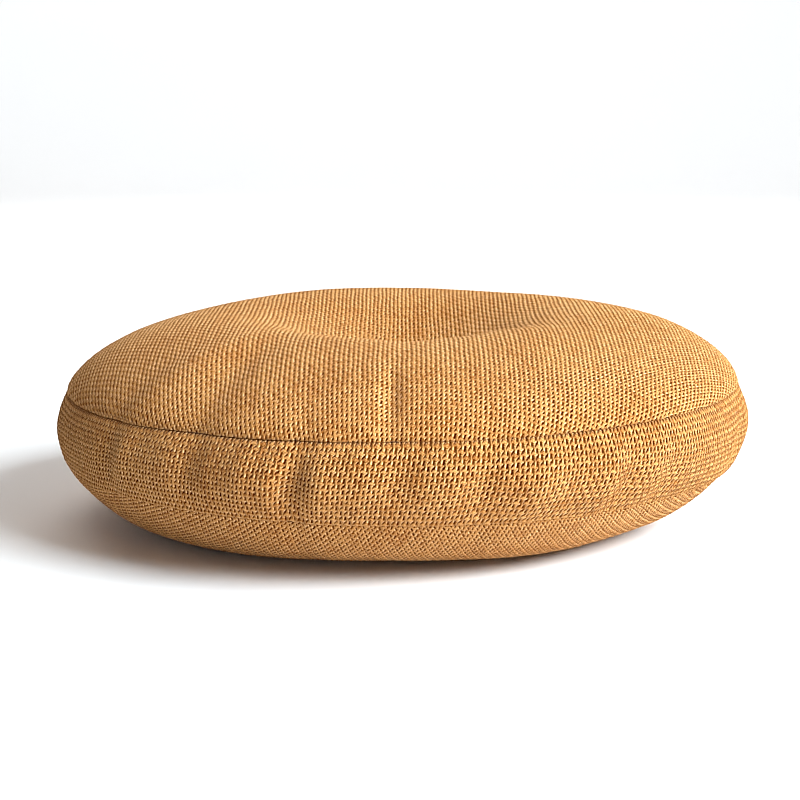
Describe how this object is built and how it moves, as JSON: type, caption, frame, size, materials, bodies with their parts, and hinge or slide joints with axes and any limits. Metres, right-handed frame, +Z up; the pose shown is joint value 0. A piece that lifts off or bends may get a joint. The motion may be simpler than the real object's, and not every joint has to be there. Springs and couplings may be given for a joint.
{
  "type": "round boxed meditation cushion",
  "caption": "Low round floor cushion with a crowned and dimpled top panel, a gently bulging sewn side band and a flat-footed bottom panel.",
  "frame": {"origin": "middle of the cushion's outline, on the surface it rests on", "axes": "+Z up, -Y towards the side that the viewer sees, +X to the viewer's right"},
  "size_m": [0.4193, 0.4175, 0.1281],
  "materials": {
    "band_cloth": "coarse plain weave, camel, matt",
    "panel_cloth": "coarse plain weave, camel, matt"
  },
  "bodies": {
    "root": {"cushion_body": "band_cloth", "top_panel": "panel_cloth", "bottom_panel": "panel_cloth"}
  },
  "joints": []
}
